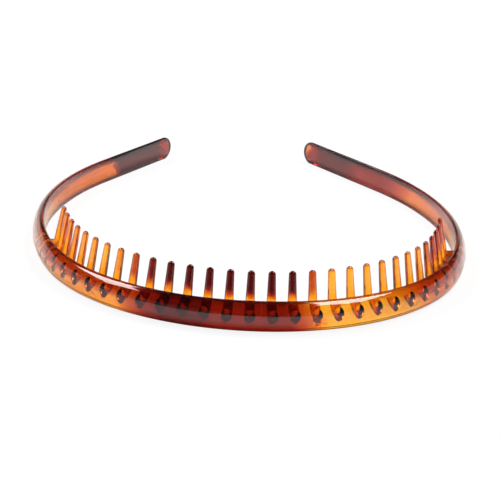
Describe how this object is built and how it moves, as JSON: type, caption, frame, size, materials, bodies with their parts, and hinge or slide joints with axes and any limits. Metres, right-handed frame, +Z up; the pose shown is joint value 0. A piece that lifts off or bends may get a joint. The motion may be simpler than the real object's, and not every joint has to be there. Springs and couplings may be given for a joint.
{
  "type": "toothed headband",
  "caption": "Springy half-round plastic headband with a row of upright comb teeth inside the crown, open at the back between two tapered arms.",
  "frame": {"origin": "on the resting plane under the lower edge, midway between the two sides and midway between the crown's outer face and the arm tips", "axes": "+Z up, the way the teeth point; -Y towards the crown, +Y towards the open ends; X across the head, with the right half at +X"},
  "size_m": [0.1194, 0.1503, 0.0139],
  "materials": {
    "tortoise_band": "polished translucent tortoiseshell, amber with dark red-brown patches",
    "tortoise_tooth": "polished translucent tortoiseshell, mostly amber"
  },
  "bodies": {
    "crown": {"band_crown": "tortoise_band", "tooth_07": "tortoise_tooth", "tooth_08": "tortoise_tooth", "tooth_09": "tortoise_tooth", "tooth_10": "tortoise_tooth", "tooth_11": "tortoise_tooth", "tooth_12": "tortoise_tooth", "tooth_13": "tortoise_tooth", "tooth_14": "tortoise_tooth", "tooth_15": "tortoise_tooth", "tooth_16": "tortoise_tooth", "tooth_17": "tortoise_tooth", "tooth_18": "tortoise_tooth", "tooth_19": "tortoise_tooth", "tooth_20": "tortoise_tooth", "tooth_21": "tortoise_tooth", "tooth_22": "tortoise_tooth", "tooth_23": "tortoise_tooth", "tooth_24": "tortoise_tooth"},
    "left_arm": {"band_left": "tortoise_band", "tooth_01": "tortoise_tooth", "tooth_02": "tortoise_tooth", "tooth_03": "tortoise_tooth", "tooth_04": "tortoise_tooth", "tooth_05": "tortoise_tooth", "tooth_06": "tortoise_tooth"},
    "right_arm": {"band_right": "tortoise_band", "tooth_25": "tortoise_tooth", "tooth_26": "tortoise_tooth", "tooth_27": "tortoise_tooth", "tooth_28": "tortoise_tooth", "tooth_29": "tortoise_tooth", "tooth_30": "tortoise_tooth"}
  },
  "joints": [
    {"name": "left_flex", "type": "hinge", "parent": "crown", "child": "left_arm", "pos_m": [-0.0463, -0.0521, 0.0039], "axis": [0, 0, 1], "range_deg": [0, 22], "stiffness_Nm_per_rad": 0.35},
    {"name": "right_flex", "type": "hinge", "parent": "crown", "child": "right_arm", "pos_m": [0.0463, -0.0521, 0.0039], "axis": [0, 0, -1], "range_deg": [0, 22], "stiffness_Nm_per_rad": 0.35}
  ]
}
